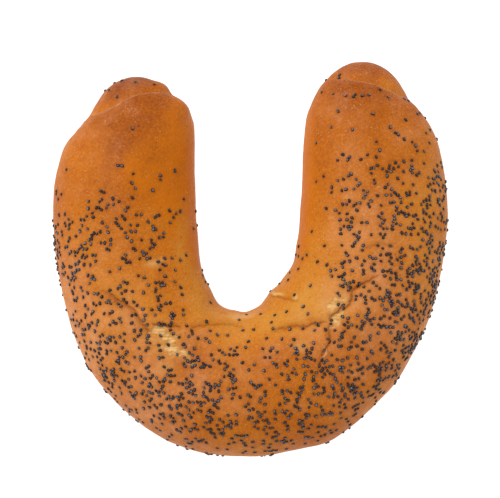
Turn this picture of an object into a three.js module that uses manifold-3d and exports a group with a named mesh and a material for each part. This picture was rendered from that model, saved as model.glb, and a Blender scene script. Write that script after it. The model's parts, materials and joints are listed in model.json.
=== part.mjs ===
// A poppy-seed roll bent into a horseshoe, baked as one piece of dough.
// A sheet of dough was rolled up into a long roll, thick in the middle and tapered at its ends, and then bent.
// The end of the inner turn shows as a small round lobe beyond the outer turn at each tip.
//
// Millimetres, +Z up. The roll lies flat and its arms point along +Y.
// The origin is the middle of the roll's box in plan, on the surface that it lies on.

import * as THREE from "three";
import { mergeVertices } from "three/addons/utils/BufferGeometryUtils.js";
import Module from "manifold-3d";

// ---- Driving dimensions ----

// The outer turn, from the left tip, round the bend, to the right tip:
// where its middle runs in plan, half its width there, and the height of its crown above the surface.
const stations = [
  { x: -30.2, y: 52.0, halfWidth: 11.5, crown: 23.0 },
  { x: -33.8, y: 44.0, halfWidth: 16.4, crown: 26.5 },
  { x: -37.4, y: 35.5, halfWidth: 20.3, crown: 29.5 },
  { x: -39.1, y: 24.0, halfWidth: 21.8, crown: 31.5 },
  { x: -39.0, y: 12.0, halfWidth: 22.1, crown: 32.0 },
  { x: -37.9, y: -2.0, halfWidth: 22.2, crown: 32.5 },
  { x: -32.8, y: -18.6, halfWidth: 23.0, crown: 33.0 },
  { x: -21.4, y: -32.8, halfWidth: 23.2, crown: 33.5 },
  { x: -6.4, y: -38.8, halfWidth: 22.9, crown: 33.5 },
  { x: 11.2, y: -36.0, halfWidth: 24.2, crown: 34.0 },
  { x: 24.8, y: -26.4, halfWidth: 24.8, crown: 34.0 },
  { x: 33.4, y: -13.0, halfWidth: 23.1, crown: 33.5 },
  { x: 37.4, y: 2.0, halfWidth: 23.1, crown: 33.0 },
  { x: 38.6, y: 16.0, halfWidth: 23.1, crown: 32.5 },
  { x: 38.0, y: 30.0, halfWidth: 22.0, crown: 31.0 },
  { x: 36.0, y: 43.5, halfWidth: 18.9, crown: 28.0 },
  { x: 31.6, y: 56.4, halfWidth: 11.0, crown: 24.0 },
];

const bendCentreY = 6.6; // the bend curves round this point of the Y axis, and the arms run straight above it
const widestShare = 0.42; // the level of a section's widest line, as a share of its crown's height
const endLength = 15; // how far back from each tip the rounded end reaches
const endBluntness = 2.6; // 2 is an ellipse, and more is blunter

// The end of the inner turn at each tip, as a rounded lobe.
const lobes = [
  { x: -35.5, y: 42.8, level: 11, radius: 14.1, halfHeight: 12.6 },
  { x: 35.2, y: 47.6, level: 11, radius: 14.0, halfHeight: 12.6 },
];

// How finely the curved surface is faceted.
const facetsAround = 32;
const facetsAlong = 84;
const crowding = 0.7; // how strongly the sections crowd towards the tips, from 0 to 1
const lobeFacets = 28;

const crustColour = 0xc4752f;
const crustRoughness = 0.42;

// ---- The outer turn ----

const centreLine = new THREE.CatmullRomCurve3(
  stations.map((s) => new THREE.Vector3(s.x, s.y, s.crown)),
  false,
  "catmullrom",
);
const centreLength = centreLine.getLength();
const halfWidths = new THREE.SplineCurve(
  stations.map((s, i) => new THREE.Vector2(i, s.halfWidth)),
);

// How full the roll is at a distance from its nearer tip: 0 at the tip and 1 past the rounded end.
function fullness(fromTip) {
  const back = 1 - Math.min(fromTip / endLength, 1);
  return (1 - back ** endBluntness) ** (1 / endBluntness);
}

// The level direction across the roll at a point of its centre line, towards the inside of the horseshoe.
function inwardAt(point) {
  return new THREE.Vector3(-point.x, Math.max(bendCentreY - point.y, 0), 0).normalize();
}

// A point on the outer turn: share runs from 0 at the left tip to 1 at the right tip, turn goes round the section.
// Towards a tip the crown keeps its height for longer than the sides keep their width.
function pointOnTurn(share, turn) {
  const t = centreLine.getUtoTmapping(share);
  const middle = centreLine.getPoint(t);
  const crown = middle.z;
  const level = widestShare * crown;
  const full = fullness(Math.min(share, 1 - share) * centreLength);
  const halfWidth = halfWidths.getPoint(t).y * full;
  const halfHeight = (crown - level) * Math.sqrt(full);
  return middle
    .setZ(level + halfHeight * Math.sin(turn))
    .addScaledVector(inwardAt(middle), halfWidth * Math.cos(turn));
}

// A sphere's grid is closed, so its rows become the roll's sections and its poles the two tips.
function outerTurn() {
  const grid = new THREE.SphereGeometry(1, facetsAround, facetsAlong);
  const position = grid.getAttribute("position");
  const vertex = new THREE.Vector3();
  for (let i = 0; i < position.count; i += 1) {
    vertex.fromBufferAttribute(position, i);
    const row = Math.acos(THREE.MathUtils.clamp(vertex.y, -1, 1)) / Math.PI;
    const share = row - (crowding * Math.sin(2 * Math.PI * row)) / (2 * Math.PI);
    const placed = pointOnTurn(share, Math.atan2(vertex.z, vertex.x));
    position.setXYZ(i, placed.x, placed.y, placed.z);
  }
  return grid;
}

// ---- The lobes and the flat base ----

function tipLobe(lobe) {
  return new THREE.SphereGeometry(1, lobeFacets, lobeFacets / 2)
    .rotateX(Math.PI / 2)
    .scale(lobe.radius, lobe.radius, lobe.halfHeight)
    .translate(lobe.x, lobe.y, lobe.level);
}

// What lies below the surface that the dough settled on while it baked.
function belowSurface() {
  const size = 300;
  return new THREE.BoxGeometry(size, size, size).translate(0, 0, -size / 2);
}

// ---- Joining ----

const wasm = await Module();
wasm.setup();

function toSolid(geometry) {
  geometry.deleteAttribute("normal");
  geometry.deleteAttribute("uv");
  const merged = mergeVertices(geometry);
  return new wasm.Manifold(
    new wasm.Mesh({
      numProp: 3,
      vertProperties: merged.getAttribute("position").array,
      triVerts: new Uint32Array(merged.index.array),
    }),
  );
}

function toGeometry(solid) {
  const mesh = solid.getMesh();
  const geometry = new THREE.BufferGeometry();
  geometry.setAttribute("position", new THREE.BufferAttribute(mesh.vertProperties, 3));
  geometry.setIndex(new THREE.BufferAttribute(mesh.triVerts, 1));
  return geometry;
}

let dough = toSolid(outerTurn());
for (const lobe of lobes) dough = dough.add(toSolid(tipLobe(lobe)));
const rollGeometry = toGeometry(dough.subtract(toSolid(belowSurface())));

// The middle of the roll's box in plan goes to the origin, and its base stays on the surface.
rollGeometry.computeBoundingBox();
const boxMiddle = rollGeometry.boundingBox.getCenter(new THREE.Vector3());
rollGeometry.translate(-boxMiddle.x, -boxMiddle.y, 0);
rollGeometry.computeVertexNormals();

const roll = new THREE.Mesh(
  rollGeometry,
  new THREE.MeshStandardMaterial({ color: crustColour, roughness: crustRoughness, metalness: 0 }),
);
roll.name = "roll";

const bakedRoll = new THREE.Group();
bakedRoll.add(roll);

export default bakedRoll;
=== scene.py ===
# %% [markdown]
# A poppy-seed roll, bent into a horseshoe.
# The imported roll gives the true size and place. This lesson makes the looks around it: a baked crust that
# laps, creases and tears like real dough, a glaze that browns unevenly, and some seventeen hundred poppy
# seeds stuck to it.
# Each step first says what the real thing is, then how it could be made and why this way was taken.

# %% The frame
import json
import math

import bmesh
import bpy
import numpy as np
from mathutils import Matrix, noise
from mathutils.kdtree import KDTree

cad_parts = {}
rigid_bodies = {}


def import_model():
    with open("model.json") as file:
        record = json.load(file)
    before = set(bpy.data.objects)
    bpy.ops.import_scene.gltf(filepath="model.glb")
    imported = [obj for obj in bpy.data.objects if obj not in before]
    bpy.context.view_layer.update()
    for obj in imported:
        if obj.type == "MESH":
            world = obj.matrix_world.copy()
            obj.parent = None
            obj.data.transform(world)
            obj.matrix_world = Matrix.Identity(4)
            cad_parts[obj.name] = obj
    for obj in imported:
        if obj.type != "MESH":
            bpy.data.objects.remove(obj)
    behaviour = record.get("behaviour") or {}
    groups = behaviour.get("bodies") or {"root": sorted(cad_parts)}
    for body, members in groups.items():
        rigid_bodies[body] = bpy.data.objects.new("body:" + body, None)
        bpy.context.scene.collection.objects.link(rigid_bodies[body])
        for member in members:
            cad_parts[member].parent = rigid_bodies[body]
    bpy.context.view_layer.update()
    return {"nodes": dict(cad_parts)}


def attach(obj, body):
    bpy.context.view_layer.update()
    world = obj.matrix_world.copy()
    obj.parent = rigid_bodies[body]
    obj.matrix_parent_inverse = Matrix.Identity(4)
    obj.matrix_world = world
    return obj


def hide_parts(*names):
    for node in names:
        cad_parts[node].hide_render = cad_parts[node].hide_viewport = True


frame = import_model()

MM = 0.001  # Blender works in metres here, and a baker's sizes read better in millimetres

# %% [markdown]
# The camera hangs straight above the roll, with its bend towards the bottom of the picture.
# A long lens keeps the arms from leaning outwards. The frame is as wide as the roll and a quarter more.

# %% Camera
WIDEST_LEVEL = 14 * MM  # the height at which the roll is widest
FRAME_WIDTH = 156.25 * MM  # what the picture takes in at that height
LENS, SENSOR = 100, 36  # in the camera's own millimetres
AIM = (-0.2 * MM, 3.1 * MM)  # the middle of the view, in plan

camera = bpy.data.objects.new("camera", bpy.data.cameras.new("camera"))
camera.data.lens = LENS
camera.data.sensor_width = SENSOR
camera.data.clip_start = 10 * MM
camera.location = (*AIM, WIDEST_LEVEL + FRAME_WIDTH * LENS / SENSOR)
bpy.context.scene.collection.objects.link(camera)
bpy.context.scene.camera = camera
print("camera height, mm:", round(camera.location.z / MM))

# %% [markdown]
# Every finish in this lesson is a small tree of nodes. These helpers add a node, fill its sockets with values
# or links and hand back its output, so that a tree reads like a sum from the top to the bottom.

# %% Node helpers
def linear(colour):
    """A colour written as on a paint card, such as c4752f, as the numbers that a shader works with."""
    parts = [int(colour[i : i + 2], 16) / 255 for i in (0, 2, 4)]
    return tuple(p / 12.92 if p <= 0.04045 else ((p + 0.055) / 1.055) ** 2.4 for p in parts) + (1,)


def socket(sockets, key):
    """A socket by its place, or by its name among those in use."""
    if isinstance(key, int):
        return sockets[key]
    return next(s for s in sockets if s.name == key and s.enabled)


def add(tree, kind, inputs=None, **settings):
    """Adds a node with these settings. Each input gets a value, or a link if it is another node's output."""
    made = tree.nodes.new(kind)
    for name, value in settings.items():
        setattr(made, name, value)
    for key, value in (inputs or {}).items():
        target = socket(made.inputs, key)
        if isinstance(value, bpy.types.NodeSocket):
            tree.links.new(value, target)
        else:
            target.default_value = value
    return made


def out(node, key=0):
    return socket(node.outputs, key)


def product(tree, first, second):
    return out(add(tree, "ShaderNodeMath", {0: first, 1: second}, operation="MULTIPLY"))


def sum_of(tree, *terms):
    """The sum of pairs (value, weight)."""
    total = 0.0
    for value, weight in terms:
        total = out(add(tree, "ShaderNodeMath", {0: value, 1: weight, 2: total}, operation="MULTIPLY_ADD"))
    return total


def blend(tree, share, first, second):
    """Two colours mixed."""
    return out(add(tree, "ShaderNodeMix", {0: share, 6: first, 7: second}, data_type="RGBA"), 2)


def between(tree, value, low, high):
    """0 at low, 1 at high and a soft step between them. Low may be the larger of the two."""
    node = add(tree, "ShaderNodeMapRange", {"Value": value, "From Min": low, "From Max": high},
               interpolation_type="SMOOTHSTEP")
    return out(node)


def grain(tree, place, size, detail=2.0):
    """Noise around 0, with lumps of this size in metres."""
    node = add(tree, "ShaderNodeTexNoise", {"Vector": place, "Scale": 1 / size, "Detail": detail})
    return sum_of(tree, (out(node), 1.0), (1.0, -0.5))


def measure(tree, name):
    """A number that the mesh keeps under this name."""
    return out(add(tree, "ShaderNodeAttribute", attribute_name=name), "Fac")


print("c4752f for a shader:", [round(part, 2) for part in linear("c4752f")])

# %% [markdown]
# The roll lies on a white light table, whose glow takes away the shadows, in a white tent, which is bright
# round its walls and darker overhead.
# The glaze mirrors what is around it: the table and the bright walls make the roll's edges pale, and the
# darker top leaves its crown deep in colour. One round lamp at the upper left gives the seeds their glint and
# the folds their soft dark side.

# %% Light table
TABLE_SIZE = 4.0
TABLE_GAP = 0.05 * MM  # keeps the table's face and the roll's base from being one and the same
TABLE_PAINT, TABLE_GLOW = 0.25, 1.0  # what it gives back of the light, and its own light

bpy.ops.mesh.primitive_plane_add(size=TABLE_SIZE, location=(0, 0, -TABLE_GAP))
table = bpy.context.object
table.name = "table"
white = bpy.data.materials.new("white_table")
white.use_nodes = True
paint = white.node_tree.nodes["Principled BSDF"].inputs
paint["Base Color"].default_value = (TABLE_PAINT, TABLE_PAINT, TABLE_PAINT, 1)
paint["Roughness"].default_value = 0.8
paint["Emission Color"].default_value = (1, 1, 1, 1)
paint["Emission Strength"].default_value = TABLE_GLOW
table.data.materials.append(white)
print("table, m:", TABLE_SIZE)

# %% Lamp and tent
LAMP_PLACE = (-0.38, 0.45, 0.95)
LAMP_SIZE, LAMP_POWER = 0.34, 8.0  # metres, watts
TENT_TOP, TENT_WALL = 0.42, 1.06  # brightness overhead and at the horizon
WALL_ENDS, TOP_BEGINS = 0.15, 0.9  # how steeply the eye looks up there, from 0 for level to 1 for overhead

lamp = bpy.data.objects.new("lamp", bpy.data.lights.new("lamp", "AREA"))
lamp.data.shape = "DISK"
lamp.data.size = LAMP_SIZE
lamp.data.energy = LAMP_POWER
lamp.location = LAMP_PLACE
lamp.rotation_euler = (-lamp.location.normalized()).to_track_quat("-Z", "Y").to_euler()
bpy.context.scene.collection.objects.link(lamp)

tent = bpy.data.worlds.new("white_tent")
tent.use_nodes = True
sky = tent.node_tree
direction = add(sky, "ShaderNodeSeparateXYZ", {0: out(add(sky, "ShaderNodeTexCoord"), "Generated")})
brightness = add(sky, "ShaderNodeMapRange", {
    "Value": out(direction, 2), "From Min": WALL_ENDS, "From Max": TOP_BEGINS,
    "To Min": TENT_WALL, "To Max": TENT_TOP})
sky.links.new(out(brightness), sky.nodes["Background"].inputs["Strength"])
sky.nodes["Background"].inputs["Color"].default_value = (1, 1, 1, 1)
bpy.context.scene.world = tent
bpy.context.scene.view_settings.view_transform = "Standard"
print("lamp, W:", lamp.data.energy)

# %% [markdown]
# The dough's smooth body.
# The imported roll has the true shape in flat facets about 4 mm wide, so its copy is made of new, even, square
# faces by a voxel remesh, and the facets are then smoothed away.
# A subdivision surface would be lighter, but it pinches where the lobes were joined on.

# %% Smooth body
NEW_FACE = 0.9 * MM  # the side of one new face
SMOOTHING_ROUNDS = 20


def baked(obj):
    """The object's mesh with its modifiers applied."""
    graph = bpy.context.evaluated_depsgraph_get()
    return bpy.data.meshes.new_from_object(obj.evaluated_get(graph), depsgraph=graph)


def link_piece(name, mesh):
    piece = bpy.data.objects.new(name, mesh)
    bpy.context.scene.collection.objects.link(piece)
    return piece


def merged_copy(node):
    """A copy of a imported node's mesh, with its loose triangles joined up."""
    joined = bmesh.new()
    joined.from_mesh(node.data)
    bmesh.ops.remove_doubles(joined, verts=joined.verts, dist=0.01 * MM)
    mesh = bpy.data.meshes.new("dough")
    joined.to_mesh(mesh)
    joined.free()
    return mesh


dough = link_piece("baked_roll", merged_copy(frame["nodes"]["roll"]))
remesh = dough.modifiers.new("even_faces", "REMESH")
remesh.mode = "VOXEL"
remesh.voxel_size = NEW_FACE
smooth = dough.modifiers.new("no_facets", "SMOOTH")
smooth.factor = 0.5
smooth.iterations = SMOOTHING_ROUNDS
body_mesh = baked(dough)
dough.modifiers.clear()
dough.data = body_mesh
print("faces of the smooth body:", len(dough.data.polygons))

# %% [markdown]
# Two measures place everything on the roll: how far a spot lies inwards or outwards from the middle of the
# bent dough, and how far it is from a drawn line. Both are taken in plan, in millimetres, as the camera sees
# the roll from above: a spot high on the crown is nearer to the lens, so it looks a little farther out.
# `rise` is the soft step that fades every mark in and out, and `uneven` is the soft noise of real dough.

# %% Soft steps, noise and places in plan
BEND_MIDDLE = np.array([0.0, 6.6])
ARM_REACH, BEND_REACH = 38.0, 45.0  # from the bend's middle to the dough's middle, at an arm and at the foot


def rise(value, start, end):
    share = np.clip((value - start) / (end - start), 0, 1)
    return share * share * (3 - 2 * share)


def uneven(points, size, seed=0.0):
    """Soft noise between -1 and 1 at each point, with lumps of about this size."""
    return np.array([noise.noise((x / size + seed, y / size, z / size)) for x, y, z in points])


def sideways(points, size, seeds):
    """Two soft noises for each point, to shift its place in plan by."""
    return np.stack([uneven(points, size, seed) for seed in seeds], axis=1)


def seen_from_above(points):
    """Where the camera sees each point, in plan at the roll's widest level."""
    lens = np.array(camera.location) / MM
    nearer = (lens[2] - WIDEST_LEVEL / MM) / (lens[2] - points[:, 2])
    return lens[:2] + (points[:, :2] - lens[:2]) * nearer[:, None]


def outwards(plan):
    """0 on the middle of the dough, negative towards the gap, positive towards the outside."""
    x = plan[:, 0] - BEND_MIDDLE[0]
    y = np.minimum(plan[:, 1] - BEND_MIDDLE[1], 0)
    distance = np.hypot(x, y)
    foot_share = (y / np.maximum(distance, 1e-6)) ** 2
    return distance - ARM_REACH - (BEND_REACH - ARM_REACH) * foot_share


left_edge = np.array([[-60.0, 20.0]])
print("outwards at the left arm's outer edge, mm:", round(float(outwards(left_edge)[0]), 1))

# %% Drawn lines and oval spots
def drawn_line(points, steps=10):
    """A smooth line through drawn points, as many short steps."""
    p = np.array([points[0], *points, points[-1]], float)
    t = np.linspace(0, 1, steps, endpoint=False)[:, None]
    parts = [
        0.5 * (2 * b + (c - a) * t + (2 * a - 5 * b + 4 * c - d) * t**2 + (3 * b - a - 3 * c + d) * t**3)
        for a, b, c, d in zip(p, p[1:], p[2:], p[3:])
    ]
    return np.vstack([*parts, p[-1:]])


def beside(plan, line):
    """For each spot: its distance from the line, its side (1 is left) and where along the line it is."""
    nearest = np.full(len(plan), np.inf)
    side = np.ones(len(plan))
    along = np.zeros(len(plan))
    for i, (start, end) in enumerate(zip(line, line[1:])):
        step = end - start
        share = np.clip((plan - start) @ step / (step @ step), 0, 1)
        offset = plan - start - share[:, None] * step
        distance = np.hypot(*offset.T)
        closer = distance < nearest
        nearest[closer] = distance[closer]
        side[closer] = np.sign(step[0] * offset[closer, 1] - step[1] * offset[closer, 0])
        along[closer] = (i + share[closer]) / (len(line) - 1)
    return nearest, side, along


def spot(plan, centre, size, turn=0.0):
    """1 at the middle of an oval spot, falling softly to 0 at its edge."""
    c, s = math.cos(math.radians(turn)), math.sin(math.radians(turn))
    x, y = (plan - np.array(centre)).T
    u, v = (x * c + y * s) / size[0], (y * c - x * s) / size[1]
    return 1 - rise(np.hypot(u, v), 0.0, 1.0)


def add_spots(values, plan, spots):
    """Adds each spot's amount to the values. A spot is its middle, its size, its turn and its amount."""
    for middle, size, turn, amount in spots:
        values += amount * spot(plan, middle, size, turn)


corner = drawn_line([(0, 0), (10, 0), (10, 10)])
print("a drawn corner of two straight 10 mm legs becomes", len(corner), "points")

# %% [markdown]
# The marks on the dough.
# As the roll was bent, the skin on the inside of the bend buckled. Two puffed sides meet there in a sharp
# line, and one of them rides over the other. At each tip the outer turn of the dough ends in a lap over the
# lobe.
# Sculpting by hand would do, but nobody could change it later. So each fold is a short drawn line with a
# depth and a puffed side, and each lap is a line along the turn's edge.

# %% Folds and laps
LEFT, RIGHT = 1, -1

# Each fold: its points in plan (mm), how deep it is, how wide its flat side rolls in, how high its puffed
# side stands, and which side that is, seen along the line as it is drawn.
folds = {
    "right_crack": (
        [(43, -4.2), (38.6, -6.2), (34.8, -8.2), (31.9, -9.7), (31.8, -11.7), (30.8, -14.4), (28.2, -15.8),
         (26.4, -16.9), (25.1, -18.6), (24.9, -20.4)],
        1.1, 0.7, 0.25, LEFT),
    "right_crack_foot": (
        [(25.1, -18.4), (24.6, -21.8), (24.5, -23.3), (25.0, -24.8), (24.5, -26.8), (23.5, -28.2),
         (22.6, -30.8), (21.6, -33.4), (20.6, -38.5)],
        0.85, 0.5, 0.2, RIGHT),
    "right_branch": (
        [(25.0, -19.9), (21.8, -20.1), (19.7, -20.3), (17.7, -21.3), (14.2, -21.1), (9.6, -21.8),
         (5.4, -22.8)],
        0.75, 0.5, 0.35, RIGHT),
    "gap_crease": (
        [(3.0, -11.2), (6.1, -11.7), (9.9, -12.2), (12.9, -12.9), (16.0, -13.4)],
        0.5, 0.3, 0.25, LEFT),
    "left_groove": (
        [(-49, -8.6), (-44.6, -10.8), (-42.4, -12.4), (-38.6, -14.4), (-36.8, -15.9), (-35.4, -18.2),
         (-33.6, -20.6), (-32.0, -22.8), (-29.8, -24.4)],
        0.95, 1.9, 0.35, LEFT),
    "left_pocket": (
        [(-31.4, -20.2), (-28.7, -20.6), (-26.2, -21.2), (-23.8, -20.9), (-21.0, -22.6)],
        0.8, 0.5, 0.3, LEFT),
    "left_crease": (
        [(-19.4, -22.0), (-17.2, -21.2), (-14.4, -20.6), (-11.0, -20.2), (-6.0, -20.4), (0.0, -21.8)],
        0.5, 0.6, 0.2, LEFT),
    "arm_wrinkle": ([(35.5, 2.2), (38, 3.7), (41.4, 4.4), (45, 3.6)], 0.35, 0.6, 0.15, LEFT),
    "foot_wrinkle_1": ([(17.0, -31.8), (19.0, -33.0), (20.6, -34.8)], 0.35, 0.5, 0.1, LEFT),
    "foot_wrinkle_2": ([(18.2, -30.6), (20.2, -32.2), (21.4, -33.2)], 0.3, 0.5, 0.1, LEFT),
    "foot_wrinkle_3": ([(16.6, -34.8), (18.6, -35.4), (20.4, -36.6)], 0.3, 0.5, 0.1, LEFT),
}
# Each lap: the outer turn's edge over a lobe, drawn so that the turn is on its left.
laps = {
    "left_lap": [
        (-20.5, 47.6), (-24.6, 51.0), (-29, 51.7), (-34.4, 51.3), (-38, 50.0), (-42.4, 47.7), (-47.6, 44.9),
        (-53, 41.4)],
    "right_lap": [
        (53, 46.6), (50.2, 48.4), (46.2, 51.0), (42.2, 53.2), (36.2, 55.2), (29, 56.2), (25, 55.8),
        (21.5, 53.0)],
}
# Where the skin split along the foot of the right crack, its raised edge is bare and gets a painted highlight.
bare_edge = [(23.0, -27.6), (23.5, -28.6), (23.5, -29.6), (23.0, -30.4), (22.2, -31.0)]
print("folds:", len(folds), "laps:", len(laps))

# %% [markdown]
# Where the skin was pulled it tore, so pale crumb shows, and round the tears it is stretched thin. A few pale
# spots beside the gap are painted highlights instead. The dough also swells and sinks a little everywhere,
# because it rose unevenly.
# All of these are soft oval spots: a few numbers say where each one is, how far it reaches and how strong it
# is, so one function makes them all.

# %% Tears, thin skin and swellings
# Each oval spot: its middle and its size in plan (mm), its turn in degrees, and its strength.
tears = [  # how much crumb shows
    ((-27.6, -22.6), (6.2, 2.4), -12, 1.0),
    ((-24.6, -25.0), (3.0, 1.6), -40, 0.7),
    ((-24.8, -28.0), (5.0, 3.2), -28, 0.9),
    ((-20.4, -30.2), (4.6, 1.6), -42, 0.8),
    ((-31.8, -23.8), (2.2, 1.6), 20, 0.6),
    ((26.4, -14.4), (5.4, 2.4), 32, 0.6),
    ((27.9, -16.2), (3.6, 1.6), 38, 0.7),
    ((26.8, -19.7), (4.2, 2.6), 48, 0.9),
]
thin_skin_and_highlight_spots = [  # how pale the thin skin is, and how strong each painted highlight is
    # thin skin round the tears
    ((-27.0, -26.0), (11.0, 8.0), -35, 0.28),
    ((-26.3, -33.5), (5.0, 4.0), 10, 0.25),
    ((26.5, -15.5), (9.0, 6.0), 35, 0.35),
    # painted highlights on the crest above the gap crease
    ((8.4, -11.0), (4.0, 1.0), -8, 1.0),
    ((13.8, -11.9), (1.2, 1.6), -10, 0.7),
    # paler skin
    ((15.6, -27.6), (4.2, 3.4), 0, 0.4),
    # a painted highlight at the foot of the gap
    ((-3.0, -17.6), (7.0, 2.2), 8, 0.5),
    # paler skin
    ((-29.4, -1.0), (5.0, 2.4), 20, 0.5),
]
swellings = [  # how far it stands out, in mm
    # round the foot of the gap
    ((-10.5, -15.0), (7.0, 6.0), 0, -1.0),
    ((2.6, -15.2), (4.0, 3.0), 0, -0.8),
    ((7.0, -11.4), (4.6, 3.6), 50, 0.9),
    ((-1.5, -16.0), (4.0, 3.0), 0, -0.8),
    # at the tips
    ((-50.5, 44.5), (6.0, 6.0), 0, 0.9),
    ((50.2, 49.8), (5.5, 4.5), -45, 0.9),
    ((55.5, 44.0), (5.0, 5.0), 0, 0.1),
    ((21.0, 52.5), (5.0, 7.0), 0, 0.8),
    ((58.0, 40.0), (6.0, 12.0), 0, 0.5),
    ((-22.0, 47.2), (5.0, 6.5), 0, 1.0),
    ((-26.6, 54.4), (5.0, 4.0), -30, 0.8),
    # along the outside of the bend
    ((24.0, -56.4), (6.5, 4.5), 30, 0.4),
    ((38.0, -47.0), (15.0, 7.0), 45, -0.8),
    ((13.0, -59.6), (9.0, 5.0), 10, -0.4),
    ((-37.0, -50.0), (16.0, 7.0), -40, -0.4),
    ((-50.0, -36.0), (12.0, 6.0), -55, 0.35),
    ((4.0, -60.0), (20.0, 7.0), 0, -0.4),
    # on the arms' inner sides
    ((-16.0, 32.0), (5.0, 22.0), 0, -0.3),
    ((-16.0, 6.0), (4.0, 8.0), 0, 0.4),
    ((15.0, 34.0), (5.0, 28.0), 0, -0.8),
    # beside the folds and on the arms
    ((-40.0, -13.0), (10.0, 5.0), -42, -0.8),
    ((29.5, 18.0), (5.0, 3.0), 30, 0.5),
    ((31.7, 13.0), (5.0, 2.6), 25, 0.5),
    ((-44.0, -21.0), (10.0, 8.0), -40, 1.1),
    ((33.5, -18.5), (8.0, 7.0), 40, 0.8),
    ((16.0, -16.0), (9.0, 4.6), -10, 0.7),
    ((-19.0, -23.5), (8.0, 5.0), 0, 0.5),
    ((39.0, 6.5), (6.0, 3.0), 10, 0.35),
    # on the lobes
    ((-36.0, 63.0), (16.0, 9.0), 0, 0.8),
    ((35.0, 62.0), (14.0, 8.0), 0, 0.2),
]
print("tears:", len(tears), "thin spots:", len(thin_skin_and_highlight_spots), "swellings:", len(swellings))

# %% [markdown]
# A narrow fold and a ragged tear need enough faces, so the skin near each of them is cut finer, twice: first
# in a wide band, then in a narrow one. The rest of the roll keeps its larger faces, which keeps it light.

# %% Cut the skin finer near the marks
FINER_WITHIN = (2.2, 0.8)  # mm from a line, in each round


def read(mesh, kind):
    """Every vertex's place in mm, or its normal, as rows of three."""
    values = np.zeros(len(mesh.vertices) * 3, np.float32)
    if kind == "place":
        mesh.vertices.foreach_get("co", values)
        return values.reshape(-1, 3).astype(float) / MM
    mesh.vertex_normals.foreach_get("vector", values)
    return values.reshape(-1, 3).astype(float)


def divide(mesh, near):
    """Cuts each face between these corners in four."""
    cut = bmesh.new()
    cut.from_mesh(mesh)
    edges = [edge for edge in cut.edges if near[edge.verts[0].index] and near[edge.verts[1].index]]
    bmesh.ops.subdivide_edges(cut, edges=edges, cuts=1, use_grid_fill=True)
    cut.to_mesh(mesh)
    cut.free()


def triangle_count(mesh):
    return sum(len(face.vertices) - 2 for face in mesh.polygons)


for reach in FINER_WITHIN:
    plan = seen_from_above(read(dough.data, "place"))
    near = np.zeros(len(plan), bool)
    for line in [fold[0] for fold in folds.values()] + list(laps.values()):
        near |= beside(plan, drawn_line(line, 4))[0] < reach
    for middle, size, turn, _ in tears:
        near |= spot(plan, middle, size, turn) > 0
    divide(dough.data, near & (read(dough.data, "normal")[:, 2] > 0))
print("triangles:", triangle_count(dough.data))

# %% [markdown]
# Pressing the marks in.
# Every vertex will move along its own normal by the sum of what the marks ask for, which is `push`, so the
# marks may cross and still leave one closed skin. A drawn line is too neat for dough, so the places wander a
# little before they are compared with it.
# The marks also leave measures for the crust's colour: `fold` is the painted shade inside a fold, `groove` is
# the pale dough under a lap, `lip_highlight` is a painted highlight along a thin edge, `crumb` is where the
# skin is torn, and `thin_skin_and_highlight` is where it is only stretched, together with a few painted
# highlights.

# %% Press the folds in
FILLED_OUT = 0.12  # gives back what the smoothing took off the roll's girth
FOLD_END = 0.18  # the share of a fold's length over which it fades
PUFFED_SIDE_WIDTH = 0.35  # the puffed side of a fold rolls in steeply
SHOULDER_AWAY, SHOULDER_WIDTH = 2.1, 1.7  # where the puffed side stands highest, from the fold

points, normals = read(dough.data, "place"), read(dough.data, "normal")
plan = seen_from_above(points)
x, y = plan.T
across = outwards(plan)
wander = sideways(points, 3.0, (20.0, 40.0))  # in soft lumps
jitter = sideways(points, 1.1, (50.0, 60.0))  # in small grains
facing_up = rise(normals[:, 2], 0.0, 0.35)
push = np.full(len(points), FILLED_OUT)
fold = np.zeros(len(points))


def wandering(by_lumps, by_grains):
    """The places in plan, shifted by shares of the two noises."""
    return plan + by_lumps * wander + by_grains * jitter


def fading_ends(along):
    """1 along a line, and a soft fall to 0 at both of its ends."""
    return rise(along, 0, FOLD_END) * (1 - rise(along, 1 - FOLD_END, 1))


for line, depth, width, puff, puffed_side in folds.values():
    away, side, along = beside(wandering(0.5, 0.42), drawn_line(line))
    puffed = side == puffed_side
    ends = fading_ends(along) * facing_up
    width = np.where(puffed, PUFFED_SIDE_WIDTH, width)
    shoulder = puffed * np.exp(-(((away - SHOULDER_AWAY) / SHOULDER_WIDTH) ** 2))
    push += ends * (puff * shoulder - depth * np.exp(-away / width))
    fold = np.maximum(fold, ends * np.exp(-away / (0.35 + 0.5 * width)) * min(depth, 1.0))
print("deepest fold, mm:", round(push.min(), 2))

# %% Press the laps and the bare edge in
LAP_LIP, LAP_GROOVE, LAP_WIDTH = 0.42, 0.7, 1.2
GROOVE_SHADE_WIDTH, LIP_HIGHLIGHT_WIDTH = 2.2, 0.32
BARE_EDGE_WIDTH, BARE_EDGE_HEIGHT, BARE_EDGE_HIGHLIGHT = 0.3, 0.35, 2.4

groove = np.zeros(len(points))
lip_highlight = np.zeros(len(points))
for line in laps.values():
    away, side, along = beside(wandering(0.3, 0.1), drawn_line(line))
    on_turn = side > 0
    push += LAP_LIP * on_turn * np.exp(-(((away - LAP_WIDTH) / LAP_WIDTH) ** 2)) * facing_up
    push -= LAP_GROOVE * ~on_turn * np.exp(-((away / LAP_WIDTH) ** 2)) * facing_up
    groove = np.maximum(groove, ~on_turn * np.exp(-((away / GROOVE_SHADE_WIDTH) ** 2)) * facing_up)
    # a painted highlight along each lap's edge, on faces that look up
    edge = np.exp(-((away / LIP_HIGHLIGHT_WIDTH) ** 2)) * rise(normals[:, 2], 0.3, 0.8)
    lip_highlight = np.maximum(lip_highlight, fading_ends(along) * edge)
away = beside(wandering(0, 0.1), drawn_line(bare_edge))[0]
edge = np.exp(-((away / BARE_EDGE_WIDTH) ** 2))
push += BARE_EDGE_HEIGHT * edge
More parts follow.
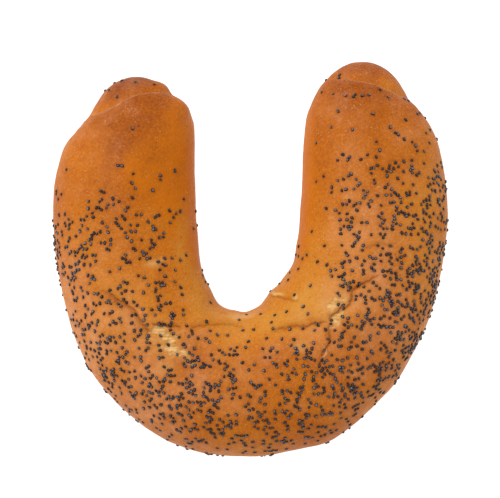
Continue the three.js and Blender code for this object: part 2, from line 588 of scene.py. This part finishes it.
# the bare edge gets a painted highlight too
lip_highlight = np.maximum(lip_highlight, BARE_EDGE_HIGHLIGHT * edge)
print("pushed in and out at most, mm:", round(push.min(), 2), round(push.max(), 2))

# %% Swell the dough and tear the skin
UNEVENNESS = [(24.0, 0.45), (9.0, 0.22), (3.4, 0.07), (1.6, 0.025)]  # the lumps' size and their height
TEAR_DEPTH, TEAR_RAGGEDNESS = 0.4, 0.4

add_spots(push, plan, swellings)
for size, amount in UNEVENNESS:
    push += amount * uneven(points, size)

crumb = np.zeros(len(points))
ragged = uneven(points, 2.0, 7.0) + 0.7 * uneven(points, 0.9, 3.0)
for middle, size, turn, amount in tears:
    patch = spot(wandering(1.2, 0.6), middle, size, turn)
    crumb = np.maximum(crumb, amount * rise(patch + 0.5 * ragged * (patch > 0.02), 0.1, 0.6) * facing_up)
push -= crumb * (TEAR_DEPTH + TEAR_RAGGEDNESS * ragged)

# pale thin skin, and painted highlights, only on faces that look up
thin_skin_and_highlight = np.zeros(len(points))
for middle, size, turn, amount in thin_skin_and_highlight_spots:
    patch = spot(wandering(1, 0), middle, size, turn) * rise(normals[:, 2], 0.1, 0.4)
    thin_skin_and_highlight = np.maximum(thin_skin_and_highlight, amount * patch)
print("corners on torn skin:", int((crumb > 0.1).sum()), "on thin skin:", int((thin_skin_and_highlight > 0.1).sum()))

# %% Move the skin
SEED_ROOM = 0.4  # how much lower the crown is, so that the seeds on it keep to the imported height
CROWN_FROM, CROWN_TO = 28, 34  # the heights between which the crown gives way


def keep(mesh, name, values):
    """Stores a number for each vertex under this name."""
    attribute = mesh.attributes.get(name) or mesh.attributes.new(name, "FLOAT", "POINT")
    attribute.data.foreach_set("value", np.asarray(values, np.float32))


points += normals * push[:, None]
points[:, 2] -= SEED_ROOM * rise(points[:, 2], CROWN_FROM, CROWN_TO)
points[:, 2] = np.maximum(points[:, 2], 0)
dough.data.vertices.foreach_set("co", (points * MM).ravel())
dough.data.update()
for name, values in [
    ("fold", fold), ("groove", groove), ("crumb", crumb), ("thin_skin_and_highlight", thin_skin_and_highlight), ("lip_highlight", lip_highlight),
]:
    keep(dough.data, name, values)
print("pushed in and out at most, mm:", round(push.min(), 2), round(push.max(), 2))

# %% [markdown]
# How brown the crust is.
# Heat reaches the top and the outside of the horseshoe best, while the two arms shade each other, so the
# inside of the bend stays pale and yellow. The dough under a lap is paler again, and the base is brown from
# the hot tray.
# A few soft spots over the whole roll say this, and the crust's material adds the fine mottling later. Paint
# would need an unwrapped skin, and these measures don't.

# %% Browning
EVEN_BROWN = 0.52
browner = [  # how much browner it is, or paler if below 0
    # the inside of the bend and the arms' inner sides
    ((2, -16), (40, 18), 0, -0.30),
    ((-17, 2), (11, 30), 0, -0.22),
    ((24, -4), (24, 34), 0, -0.16),
    ((20, 36), (8, 16), 0, 0.06),
    ((-22, 16), (14, 20), 0, -0.08),
    # the left arm and its tip
    ((-42, -16), (30, 44), 0, -0.16),
    ((-33, 34), (22, 26), 0, 0.14),
    ((-40, 34), (14, 16), 0, 0.08),
    ((-38, 56), (28, 22), 0, 0.26),
    # the right arm and its tip
    ((56, 2), (26, 40), 0, -0.16),
    ((33, 56), (26, 22), 0, 0.26),
    ((43, 55), (7, 4), -35, -0.20),
    # the outside of the bend
    ((46, -34), (24, 26), 0, 0.04),
    ((49, -26), (13, 13), 0, -0.10),
    ((20, -54), (34, 14), 0, 0.09),
    ((-22, -32), (10, 8), 0, 0.08),
]

browning = EVEN_BROWN + 0.06 * rise(across, -20, -8)
add_spots(browning, plan, browner)
browning += 0.08 * (1 - rise(across, -21.5, -17)) * rise(y, -4, -12)  # the rim at the foot of the gap
browning -= 0.07 * rise(across, 12, 20) * rise(x, -25, 0)  # the roll's outer side, on the right
browning += 0.08 * uneven(points, 14.0, 11.0)
# painted shade in the folds, and paler dough under the laps
browning += 0.10 * fold - 0.20 * groove
keep(dough.data, "browning", np.clip(browning, 0, 1))
keep(dough.data, "underside", 1 - rise(normals[:, 2], -0.9, -0.35))
print("browning from", round(float(browning.min()), 2), "to", round(float(browning.max()), 2))

# %% [markdown]
# Painted sheen on the glaze.
# The glaze's pale, pinkish reflection of the bright surroundings is painted into its colour, most of all on
# the outside of the bend. On the arms' inner sides there is none, and the colour turns a deeper amber there.
# The measure runs from -1, which is the deepest amber, to 1, which is the most painted sheen.

# %% Painted sheen
EVEN_SHEEN = 0.12
more_sheen = [  # how much more painted sheen there is, or less if below 0
    ((-60, -24), (36, 46), 20, 0.34),
    ((-26, -42), (40, 34), 0, 0.22),
    ((38, -10), (30, 46), 0, 0.26),
    ((-22, 22), (22, 44), 0, -0.55),
    ((16, 20), (14, 40), 0, -0.30),
    ((4, -16), (24, 12), 0, -0.20),
    ((4, -54), (34, 12), 0, -0.25),
    ((-38, 29), (14, 14), 0, -0.35),
    ((-44, -36), (12, 12), 0, -0.20),
]

painted_sheen = np.full(len(points), EVEN_SHEEN)
add_spots(painted_sheen, plan, more_sheen)
painted_sheen += 0.08 * rise(across, 17, 21) * rise(y, -10, -30)  # the outer side of the bend
painted_sheen -= 0.40 * (1 - rise(across, -21.5, -16)) * rise(y, -12, 4)  # the arms' inner rims
keep(dough.data, "painted_sheen", np.clip(painted_sheen, -1, 1))
print("bloom from", round(float(painted_sheen.min()), 2), "to", round(float(painted_sheen.max()), 2))

# %% [markdown]
# The crust's finish.
# Egg wash bakes to a thin gloss over a matt skin, so the shader has a weak coat, and both layers are rough.
# The colour runs along a ramp from pale dough to deep brown. The browning picks the place on the ramp, and
# noise of three sizes moves it to and fro: cloudy patches, freckles and a fine grain.
# The noises are set in three dimensions on Object coordinates, so they don't stretch down the sides.

# %% The browned skin
CRUST_STOPS = [
    (0.0, "c29447"), (0.22, "c68430"), (0.42, "c0721e"), (0.6, "b15f13"), (0.8, "964a0e"), (1.0, "6e300d")]
CLOUD_SIZE, FRECKLE_SIZE, FINE_SIZE = 12 * MM, 2.6 * MM, 0.7 * MM

crust = bpy.data.materials.new("glazed_crust")
crust.use_nodes = True
tree = crust.node_tree
shader = tree.nodes["Principled BSDF"]
place = out(add(tree, "ShaderNodeTexCoord"), "Object")

clouds = grain(tree, place, CLOUD_SIZE, 3.0)
freckles = grain(tree, place, FRECKLE_SIZE, 2.0)
fine = grain(tree, place, FINE_SIZE, 3.0)
brown = sum_of(tree, (measure(tree, "browning"), 1.0), (clouds, 0.22), (freckles, 0.18), (fine, 0.5))
ramp = add(tree, "ShaderNodeValToRGB", {0: brown})
for _ in CRUST_STOPS[2:]:
    ramp.color_ramp.elements.new(1.0)
for stop, (position, colour) in zip(ramp.color_ramp.elements, CRUST_STOPS):
    stop.position = position
    stop.color = linear(colour)
skin = out(ramp)
print("colours from pale to brown:", len(CRUST_STOPS))

# %% [markdown]
# The glaze over the skin. Its painted sheen lies over the colour in soft patches, and where that measure is
# below 0 the colour turns a deeper amber. A finer, pale marbling follows the painted sheen.

# %% Painted sheen, amber and marbling in the glaze
PAINTED_SHEEN, AMBER, PALE_MARBLE = linear("d08b5e"), linear("c46a00"), linear("e0a068")
SHEEN_PATCH, MARBLING = 7 * MM, 1.3 * MM

sheen_share = sum_of(tree, (grain(tree, place, SHEEN_PATCH, 3.0), 0.8), (measure(tree, "painted_sheen"), 1.0))
# the painted sheen: the glaze's pale reflection of the bright surroundings
skin = blend(tree, between(tree, sheen_share, 0.0, 1.0), skin, PAINTED_SHEEN)
# a deeper amber where the painted sheen measure is below 0
clear = sum_of(tree, (between(tree, sheen_share, 0.0, -0.6), 0.8))
skin = blend(tree, clear, skin, AMBER)
marbling_share = sum_of(tree, (grain(tree, place, MARBLING, 4.0), 1.0), (sheen_share, 0.5))
skin = blend(tree, sum_of(tree, (between(tree, marbling_share, 0.1, 0.45), 0.26)), skin, PALE_MARBLE)
print("crust nodes so far:", len(tree.nodes))

# %% [markdown]
# Tiny blisters of egg stand up a little, and a painted glint on each shows as a pale fleck, in some places and
# not in others. Small pricks where steam came out sink in, and painted shade in each shows as a dark dot.
# Each is the middle of a cell of a Voronoi texture, and a draw for each cell says which cells have one, so
# they are scattered and yet hardly ever run into each other.

# %% Blisters and pricks, with painted glints and shade
PAINTED_GLINT, PRICK_SHADE = linear("efbd8a"), linear("8a430f")


def dots(size, share, reach, seed):
    """1 at the middles of a share of the cells of this size, falling off over their reach."""
    moved = out(add(tree, "ShaderNodeVectorMath", {0: place, 1: (seed, 0, 0)}, operation="ADD"))
    cells = add(tree, "ShaderNodeTexVoronoi", {"Vector": moved, "Scale": 1 / size})
    lot = out(add(tree, "ShaderNodeSeparateColor", {0: out(cells, "Color")}))
    picked = between(tree, lot, 1 - share, 1.02 - share)
    near = between(tree, out(cells, "Distance"), reach, 0.3 * reach)
    return product(tree, near, picked)


in_places = between(tree, grain(tree, place, 6 * MM, 2.0), -0.12, 0.16)
blisters_and_glints = product(tree, dots(0.62 * MM, share=0.24, reach=0.45, seed=0.1), in_places)
pricks = dots(1.5 * MM, share=0.12, reach=0.28, seed=0.3)
skin = blend(tree, sum_of(tree, (blisters_and_glints, 0.3)), skin, PAINTED_GLINT)
skin = blend(tree, sum_of(tree, (pricks, 0.5)), skin, PRICK_SHADE)
print("crust nodes so far:", len(tree.nodes))

# %% [markdown]
# The marks' colours. Torn crumb is pale, with threads that run the way it was pulled, so its noise is
# squeezed along one direction. Thin skin is pale, and so are the painted highlights along thin edges. The
# inside of a fold gets painted shade, the base is dark, and round each seed the crust gets a painted contact
# shadow, which is measured further on.

# %% Crumb, painted highlights, painted shade and base
CRUMB_PALE, CRUMB_DEEP = linear("e4bd80"), linear("c08a44")
THIN_SKIN_AND_HIGHLIGHT = linear("e6bf7a")
FOLD_SHADE, UNDERSIDE, SEED_SHADOW = linear("7c3c0e"), linear("8a4a1e"), linear("6a340e")
THREAD_TURN, THREAD_SQUEEZE = math.radians(30), 3.2

pulled = out(add(tree, "ShaderNodeMapping", {
    "Vector": place, "Rotation": (0, 0, THREAD_TURN), "Scale": (1, THREAD_SQUEEZE, 1)}))
threads = between(tree, grain(tree, pulled, 2.4 * MM, 5.0), -0.14, 0.14)
torn = blend(tree, threads, CRUMB_DEEP, CRUMB_PALE)
torn_share = sum_of(tree, (between(tree, measure(tree, "crumb"), 0.0, 0.9), 0.8))
# pale thin skin, and painted highlights in a few spots
skin = blend(tree, sum_of(tree, (measure(tree, "thin_skin_and_highlight"), 0.75)), skin, THIN_SKIN_AND_HIGHLIGHT)
skin = blend(tree, torn_share, skin, torn)
# painted highlights along the laps' edges and the bare edge
skin = blend(tree, sum_of(tree, (measure(tree, "lip_highlight"), 0.24)), skin, PAINTED_GLINT)
# painted shade inside the folds
skin = blend(tree, sum_of(tree, (measure(tree, "fold"), 0.6)), skin, FOLD_SHADE)
skin = blend(tree, measure(tree, "underside"), skin, UNDERSIDE)
# a painted contact shadow round each seed
skin = blend(tree, sum_of(tree, (measure(tree, "beside_seeds"), 0.5)), skin, SEED_SHADOW)
tree.links.new(skin, shader.inputs["Base Color"])
print("crust nodes so far:", len(tree.nodes))

# %% [markdown]
# Relief and gloss. Freckles, grain and blisters stand up a little, pricks and pores sink in, and torn crumb
# is rougher than glazed skin. The coat is weak, because the real glaze gives no sharp highlight.

# %% Relief and gloss
PORE_CELL = 1.0 * MM

holes = add(tree, "ShaderNodeTexVoronoi", {"Vector": place, "Scale": 1 / PORE_CELL})
pores = between(tree, out(holes, "Distance"), 0.6, 0.1)
relief = sum_of(tree, (fine, 0.20), (freckles, 0.18), (blisters_and_glints, 0.07), (pricks, -0.08), (pores, -0.04))
bump = add(tree, "ShaderNodeBump", {"Height": relief, "Distance": 1 * MM, "Strength": 0.75})
tree.links.new(out(bump), shader.inputs["Normal"])
tree.links.new(sum_of(tree, (torn_share, 0.3), (freckles, 0.2), (1.0, 0.55)), shader.inputs["Roughness"])
shader.inputs["Coat Weight"].default_value = 0.03
shader.inputs["Coat Roughness"].default_value = 0.35
shader.inputs["Specular IOR Level"].default_value = 0.08
dough.data.materials.clear()
dough.data.materials.append(crust)
dough.data.shade_smooth()
print("crust nodes:", len(tree.nodes))

# %% [markdown]
# Where the poppy seeds fell.
# They were shaken over the glazed roll from above, thickest on the outside of the horseshoe, and hardly any
# reached the left arm's end. Painting them by hand would take hours, so a number on each vertex says how
# thickly they lie. It is a share of how many seeds fit side by side.

# %% Where the seeds fell
thicker = [  # how much more thickly the seeds lie, or less if below 0
    # the outside of the right arm
    ((60, -8), (16, 40), 0, 0.20),
    ((51, -20), (16, 26), 0, 0.26),
    ((62, -8), (9, 18), 0, 0.22),
    ((53, -27), (9, 11), 40, 0.22),
    ((55, -27), (8, 12), 0, 0.08),
    ((58, 20), (10, 12), 0, 0.12),
    # the right arm's crown
    ((40, -11), (8, 6), 0, 0.12),
    ((46, 4), (18, 9), 0, -0.18),
    ((34, 26), (20, 15), 0, -0.12),
    # the bend
    ((36, -43), (16, 10), 40, 0.16),
    ((42, -37), (8, 6), 40, 0.20),
    ((41, -29), (8, 8), 0, -0.20),
    ((20, -27), (8, 8), 0, -0.10),
    ((4, -37), (16, 8), 0, -0.12),
    ((14, -61), (16, 7), 0, -0.14),
    ((8, -51), (20, 6), 0, 0.15),
    ((-2, -56), (13, 9), 0, -0.16),
    ((-22, -50), (26, 9), 0, 0.14),
    ((-48, -42), (17, 10), -45, 0.30),
    ((-22, -21), (10, 6), 0, 0.10),
    # the left arm
    ((-30, -17), (8, 7), 0, 0.16),
    ((-40, -4), (16, 16), 0, -0.14),
    ((-60, 3), (12, 12), 0, 0.22),
    ((-60, -19), (8, 11), 0, -0.30),
    # the arms' inner sides
    ((-13, -4), (4.5, 16), 10, 0.36),
    ((14, 0), (4.5, 14), 0, 0.22),
]
few_seeds = [  # small groups, on the tips that are otherwise nearly bare and in the left folds
    ((-26, -20.9), (4, 1.3), 0, 0.5),
    ((-42, -12), (6, 3), -20, 0.1),
    ((-43, 57), (5, 8), -40, 0.22),
    ((-20, 50), (4, 6), 0, 0.12),
    ((23, 57), (9, 5), 40, 0.30),
    ((32, 52), (12, 6), 0, 0.16),
]

# Few on the inner sides, and more from there over the crown to the outside.
sown = 0.05 + 0.23 * rise(across, -19, -2) + 0.05 * rise(across, 2, 14)
add_spots(sown, plan, thicker)
left_end = rise(y, 10, 25) * (x < 0)
right_end = rise(y, 22, 45) * (x > 0)
sown *= 1 - 0.93 * np.maximum(left_end, 0.92 * right_end)
add_spots(sown, plan, few_seeds)
sown *= 1 - 0.8 * spot(plan, (38, -45), (17, 3.6), 45)  # a bare band
sown *= 1 - 0.35 * rise(across, 19, 21) * rise(-y, 25, 50)  # the outer rim of the bend
sown *= 1 - 0.8 * np.clip(crumb, 0, 1)
# Fewer land on a steep side, and none on the underside or close to the table.
fell_on = np.maximum(normals[:, 2], 0.32) * rise(normals[:, 2], -0.15, 0.30) * rise(points[:, 2], 5, 12)
keep(dough.data, "sown", np.clip(sown * fell_on, 0, 1))
print("sown from", round(float(sown.min()), 3), "to", round(float(sown.max()), 3))

# %% [markdown]
# One poppy seed is a tiny blue-grey kidney, about 1.2 mm long, with a net of fine ridges.
# Its foot is painted nearly black as shade, so only its top shows the seed's own blue-grey. So each corner
# of the seed keeps its own height above the crust, as `seed_back`, and each seed a tone of its own, as
# `seed_tone`.

# %% The seeds' material
SEED_DARK, SEED_BLUE = linear("20141a"), linear("9698a6")
SEED_RIDGE, SEED_FOOT_SHADE = linear("98939a"), linear("220e06")
NET_CELL, RIDGE_HEIGHT = 0.2 * MM, 0.04 * MM

seed_skin = bpy.data.materials.new("poppy_seed")
seed_skin.use_nodes = True
tree = seed_skin.node_tree
shader = tree.nodes["Principled BSDF"]
place = out(add(tree, "ShaderNodeTexCoord"), "Object")
net = add(tree, "ShaderNodeTexVoronoi", {"Vector": place, "Scale": 1 / NET_CELL}, feature="DISTANCE_TO_EDGE")
ridges = between(tree, out(net, "Distance"), 0.14, 0.02)
back = blend(tree, measure(tree, "seed_tone"), SEED_DARK, SEED_BLUE)
back = blend(tree, sum_of(tree, (ridges, 0.22)), back, SEED_RIDGE)
# the foot is painted dark as shade, so only the top shows the seed's own blue-grey
seed_colour = blend(tree, between(tree, measure(tree, "seed_back"), 0.15, 0.38), SEED_FOOT_SHADE, back)
tree.links.new(seed_colour, shader.inputs["Base Color"])
bump = add(tree, "ShaderNodeBump", {"Height": ridges, "Distance": RIDGE_HEIGHT, "Strength": 0.7})
tree.links.new(out(bump), shader.inputs["Normal"])
shader.inputs["Roughness"].default_value = 0.3
shader.inputs["Specular IOR Level"].default_value = 0.45
print("seed material nodes:", len(tree.nodes))

# %% [markdown]
# Some seventeen hundred seeds repeat over a surface, which is what Geometry Nodes do best: points are
# scattered on the crust, none nearer to the next than most of a seed's width, and a seed is set on each,
# laid flat, turned at random and sunk a little into the glaze. Modelling each one by hand would give no
# more, because nobody sees one seed alone.
# The seed starts as a small sphere of a few dozen faces, squashed and then bent into a kidney.

# %% One seed
SEED_SEGMENTS, SEED_RINGS = 8, 6
CORNERS_PER_SEED = SEED_SEGMENTS * (SEED_RINGS - 1) + 2
SEED_FLATNESS, SEED_BEND = 0.78, 0.4

seeding = bpy.data.node_groups.new("seeding", "GeometryNodeTree")
for name, kind in [
    ("Crust", "NodeSocketGeometry"),
    ("Seed length", "NodeSocketFloat"),
    ("Spacing", "NodeSocketFloat"),
    ("Most per square metre", "NodeSocketFloat"),
    ("Clump size", "NodeSocketFloat"),
    ("Scatter", "NodeSocketInt"),
    ("Skin", "NodeSocketMaterial"),
]:
    seeding.interface.new_socket(name, in_out="INPUT", socket_type=kind)
seeding.interface.new_socket("Seeds", in_out="OUTPUT", socket_type="NodeSocketGeometry")
given = add(seeding, "NodeGroupInput")


def ask(name):
    """One of the tree's own inputs."""
    return out(given, name)


# One seed, a unit long, with its hollow side towards +Y.
ball = add(seeding, "GeometryNodeMeshUVSphere", {
    "Segments": SEED_SEGMENTS, "Rings": SEED_RINGS, "Radius": 0.5})
lying = add(seeding, "GeometryNodeTransform", {"Geometry": out(ball), "Rotation": (0, math.pi / 2, 0)})
parts = add(seeding, "ShaderNodeSeparateXYZ", {0: out(add(seeding, "GeometryNodeInputPosition"))})
squared = product(seeding, out(parts, 0), out(parts, 0))
bent_y = sum_of(seeding, (out(parts, 1), SEED_FLATNESS), (squared, SEED_BEND))
flat_z = sum_of(seeding, (out(parts, 2), SEED_FLATNESS))
bent = add(seeding, "ShaderNodeCombineXYZ", {0: out(parts, 0), 1: bent_y, 2: flat_z})
one_seed = add(seeding, "GeometryNodeSetPosition", {"Geometry": out(lying), "Position": out(bent)})
one_seed = add(seeding, "GeometryNodeStoreNamedAttribute", {
    "Geometry": out(one_seed), "Name": "seed_back", "Value": flat_z}, data_type="FLOAT", domain="POINT")
one_seed = add(seeding, "GeometryNodeSetShadeSmooth", {"Geometry": out(one_seed)})
print("corners of one seed:", CORNERS_PER_SEED)

# %% [markdown]
# The points come thinner where the crust's `sown` says so. Shaken seeds also fall in loose clumps, so a soft
# noise makes them up to about four times as thick in one place as in the next.

# %% Scatter the points
CLUMPS_FROM, CLUMPS_TO = 0.36, 0.64  # the noise's values at the thinnest and the thickest
THINNEST, THICKEST = 0.4, 1.7

sown_share = add(seeding, "GeometryNodeInputNamedAttribute", {"Name": "sown"}, data_type="FLOAT")
per_size = out(add(seeding, "ShaderNodeMath", {0: 1.0, 1: ask("Clump size")}, operation="DIVIDE"))
clump_noise = add(seeding, "ShaderNodeTexNoise", {"Scale": per_size, "Detail": 1.0})
clumps = add(seeding, "ShaderNodeMapRange", {
    "Value": out(clump_noise), "From Min": CLUMPS_FROM, "From Max": CLUMPS_TO,
    "To Min": THINNEST, "To Max": THICKEST})
scattered = add(seeding, "GeometryNodeDistributePointsOnFaces", {
    "Mesh": ask("Crust"), "Distance Min": ask("Spacing"), "Density Max": ask("Most per square metre"),
    "Density Factor": product(seeding, out(sown_share, "Attribute"), out(clumps)), "Seed": ask("Scatter")},
    distribute_method="POISSON")
print("seeding nodes so far:", len(seeding.nodes))

# %% [markdown]
# On each point goes one seed, turned at random about the crust's normal and tipped a little, in a size of its
# own. Its middle stays less than half its thickness above the skin, so its foot is sunk into the glaze.

# %% Set a seed on each point
TIPPED = 0.35  # radians, at most
SMALLEST, LARGEST = 0.82, 1.14  # times the seed length
LIFT = 0.18  # the middle's height above the skin, as a share of the seed length
DULLEST, BRIGHTEST = -0.6, 0.95  # below 0 a seed is plain dark, so many are

turn = add(seeding, "FunctionNodeRandomValue", {
    "Min": (-TIPPED, -TIPPED, 0), "Max": (TIPPED, TIPPED, math.tau), "Seed": 1}, data_type="FLOAT_VECTOR")
turn = add(seeding, "FunctionNodeEulerToRotation", {0: out(turn, "Value")})
facing = add(seeding, "FunctionNodeRotateRotation", {
    "Rotation": out(scattered, "Rotation"), "Rotate By": out(turn)}, rotation_space="LOCAL")
size = add(seeding, "FunctionNodeRandomValue", {
    "Min": SMALLEST, "Max": LARGEST, "Seed": 2}, data_type="FLOAT")
set_on = add(seeding, "GeometryNodeInstanceOnPoints", {
    "Points": out(scattered), "Instance": out(one_seed), "Rotation": out(facing),
    "Scale": product(seeding, out(size, "Value"), ask("Seed length"))})
lift = add(seeding, "ShaderNodeCombineXYZ", {2: sum_of(seeding, (ask("Seed length"), LIFT))})
lifted = add(seeding, "GeometryNodeTranslateInstances", {
    "Instances": out(set_on), "Translation": out(lift), "Local Space": True})
tone = add(seeding, "FunctionNodeRandomValue", {
    "Min": DULLEST, "Max": BRIGHTEST, "Seed": 3}, data_type="FLOAT")
toned = add(seeding, "GeometryNodeStoreNamedAttribute", {
    "Geometry": out(lifted), "Name": "seed_tone", "Value": out(tone, "Value")},
    data_type="FLOAT", domain="INSTANCE")
real = add(seeding, "GeometryNodeRealizeInstances", {"Geometry": out(toned)})
dressed = add(seeding, "GeometryNodeSetMaterial", {"Geometry": out(real), "Material": ask("Skin")})
add(seeding, "NodeGroupOutput", {"Seeds": out(dressed)})
print("seeding nodes:", len(seeding.nodes))

# %% [markdown]
# The tree runs as a modifier on a copy of the crust, and its result becomes a plain mesh of seeds alone. The
# seeds' length, their spacing and how thickly they may lie go in as the tree's inputs, so another roll could
# have other seeds.

# %% Sow the seeds
settings = {
    "Seed length": 1.2 * MM,
    "Spacing": 0.84 * MM,
    "Most per square metre": 3.0 / MM**2,
    "Clump size": 3.4 * MM,
    "Scatter": 12,
    "Skin": seed_skin,
}
seeds = link_piece("poppy_seeds", dough.data.copy())
sower = seeds.modifiers.new("seeding", "NODES")
sower.node_group = seeding
for item in seeding.interface.items_tree:
    if item.name in settings:
        sower[item.identifier] = settings[item.name]
seed_mesh = baked(seeds)
seeds.modifiers.clear()
seeds.data = seed_mesh
seed_middles = read(seed_mesh, "place").reshape(-1, CORNERS_PER_SEED, 3).mean(axis=1)
print("seeds:", len(seed_middles), "triangles:", triangle_count(seed_mesh))

# %% [markdown]
# Round each seed the crust is painted darker: a painted contact shadow, which also stands for the wash that
# pooled there and baked darker.
# So each corner of the crust is told how near the nearest seed is, as `beside_seeds`. A tree of the seeds'
# middles finds the nearest one quickly. These dark rings are small, so the skin is first cut finer near the
# seeds.

# %% Painted shadows round the seeds
SEED_SHADOW_REACH = 0.72  # mm
CUT_REACH = 1.2 * SEED_SHADOW_REACH

seed_finder = KDTree(len(seed_middles))
for i, middle in enumerate(seed_middles):
    seed_finder.insert(middle, i)
seed_finder.balance()


def to_nearest_seed(corners):
    return np.array([seed_finder.find(corner)[2] for corner in corners])


divide(dough.data, to_nearest_seed(read(dough.data, "place")) < CUT_REACH)
nearest_seed = to_nearest_seed(read(dough.data, "place"))
keep(dough.data, "beside_seeds", np.exp(-((nearest_seed / SEED_SHADOW_REACH) ** 2)))
print("corners beside a seed:", int((nearest_seed < SEED_SHADOW_REACH).sum()))
print("triangles:", triangle_count(dough.data))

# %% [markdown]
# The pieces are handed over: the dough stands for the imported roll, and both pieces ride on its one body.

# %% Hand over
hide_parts("roll")
for piece, slot in [(dough, "crust"), (seeds, "poppy_seed")]:
    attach(piece, "root")
